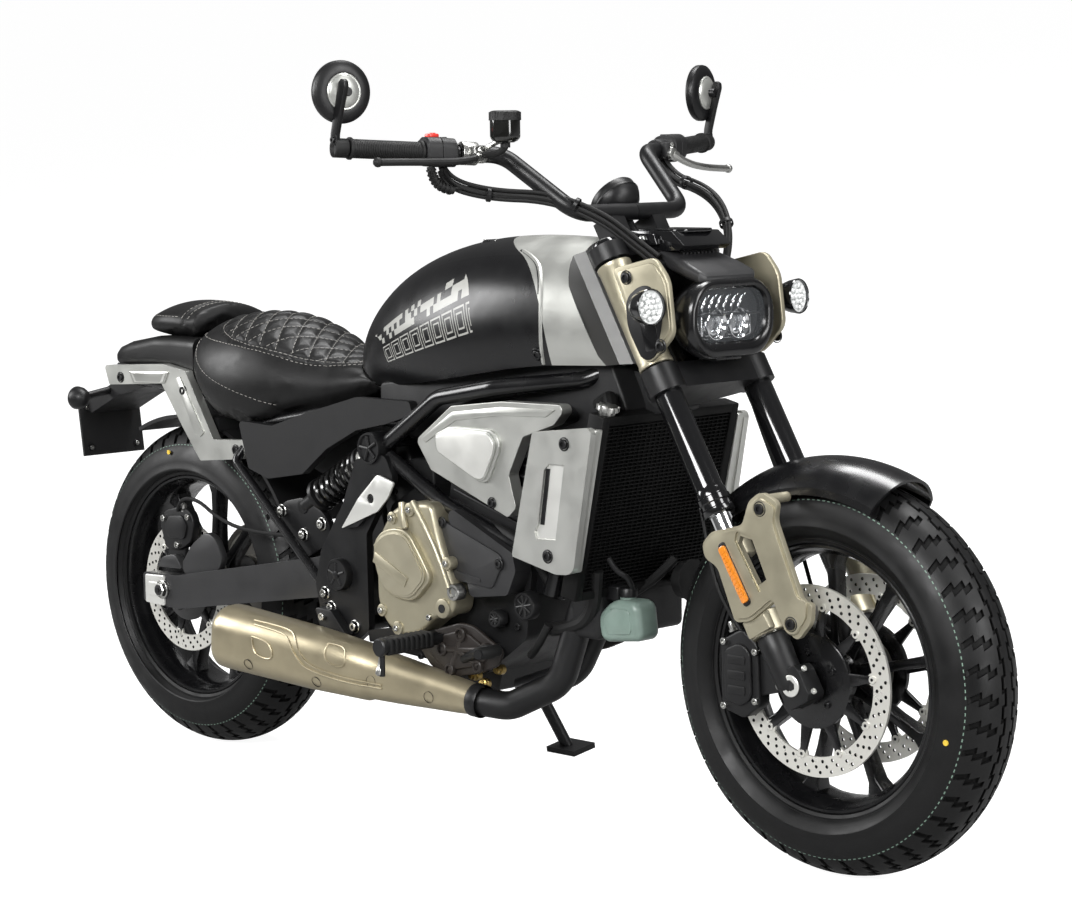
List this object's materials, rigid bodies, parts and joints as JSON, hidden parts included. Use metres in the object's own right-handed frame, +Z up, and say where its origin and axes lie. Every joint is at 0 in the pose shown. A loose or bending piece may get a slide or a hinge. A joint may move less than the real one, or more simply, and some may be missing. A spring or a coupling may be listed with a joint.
{
  "type": "cruiser motorcycle",
  "caption": "Cruiser motorcycle parked on its side stand, with turning wheels, a steering head and a folding stand.",
  "frame": {"origin": "centre of the bounding box at ground level", "axes": "+X towards the front wheel, +Y to the rider's left, +Z up; the machine leans to its left on its stand"},
  "size_m": [2.1923, 0.9483, 1.329],
  "materials": {
    "black_plastic": "black matt",
    "bottle_plastic": "translucent pale green",
    "bronze": "champagne bronze satin",
    "chain_steel": "oiled steel",
    "chrome": "hard chrome",
    "cover_grey": "dark grey satin",
    "disc_steel": "drilled stainless",
    "engine_black": "black satin casting",
    "exhaust_black": "heat-proof black",
    "frame_black": "semi-gloss black",
    "glass": "clear lens",
    "lamp_clear": "clear",
    "lamp_red": "clear red",
    "leather": "black grained",
    "plate_grey": "dark grey satin",
    "reflector": "amber",
    "rubber": "black",
    "silver_plastic": "silver grey satin",
    "tank_black": "matt black",
    "tyre": "black"
  },
  "bodies": {
    "chassis": {"main_frame": "frame_black", "front_cradle": "frame_black", "pivot_plates": "plate_grey", "engine_block": "engine_black", "clutch_cover": "bronze", "engine_covers": "cover_grey", "airbox_covers": "silver_plastic", "radiator": "black_plastic", "radiator_shrouds": "silver_plastic", "coolant_bottle": "bottle_plastic", "fuel_tank": "tank_black", "tank_saddle": "silver_plastic", "rider_seat": "leather", "pillion_pad": "leather", "tail_cowl": "black_plastic", "side_panels": "cover_grey", "tail_brackets": "silver_plastic", "rear_fender": "black_plastic", "rear_lamps": "lamp_red", "swingarm": "plate_grey", "rear_shock": "chrome", "rear_caliper": "cover_grey", "drive_chain": "chain_steel", "exhaust_headers": "exhaust_black", "muffler": "bronze", "foot_controls_right": "plate_grey", "foot_controls_left": "plate_grey"},
    "steering": {"fork_yokes": "frame_black", "fork_tubes": "frame_black", "fork_legs": "frame_black", "fork_shrouds": "bronze", "headlamp_body": "black_plastic", "headlamp_lens": "glass", "headlamp_cowl": "cover_grey", "front_signals": "lamp_clear", "gauge_pod": "black_plastic", "handlebar": "frame_black", "bar_controls": "rubber", "mirrors": "black_plastic", "front_fender": "black_plastic", "fender_stays": "bronze", "front_reflectors": "reflector", "front_calipers": "cover_grey", "control_cables": "rubber"},
    "front_wheel": {"front_tyre": "tyre", "front_rim": "frame_black", "front_discs": "disc_steel"},
    "rear_wheel": {"rear_tyre": "tyre", "rear_rim": "frame_black", "rear_disc": "disc_steel"},
    "side_stand": {"side_stand": "frame_black"}
  },
  "joints": [
    {"name": "steering", "type": "hinge", "parent": "chassis", "child": "steering", "pos_m": [0.41666, -0.05611, 0.83784], "axis": [-0.5, 0.128, 0.8565], "range_deg": [-28, 28]},
    {"name": "front_wheel_spin", "type": "hinge", "parent": "steering", "child": "front_wheel", "pos_m": [0.7765, -0.13464, 0.31242], "axis": [0, 0.989, -0.1478], "continuous": true},
    {"name": "rear_wheel_spin", "type": "hinge", "parent": "chassis", "child": "rear_wheel", "pos_m": [-0.7585, -0.13538, 0.30747], "axis": [0, 0.989, -0.1478], "continuous": true},
    {"name": "side_stand_fold", "type": "hinge", "parent": "chassis", "child": "side_stand", "pos_m": [-0.1405, 0.01577, 0.23635], "axis": [0, 0.989, -0.1478], "range_deg": [0, 105]}
  ]
}
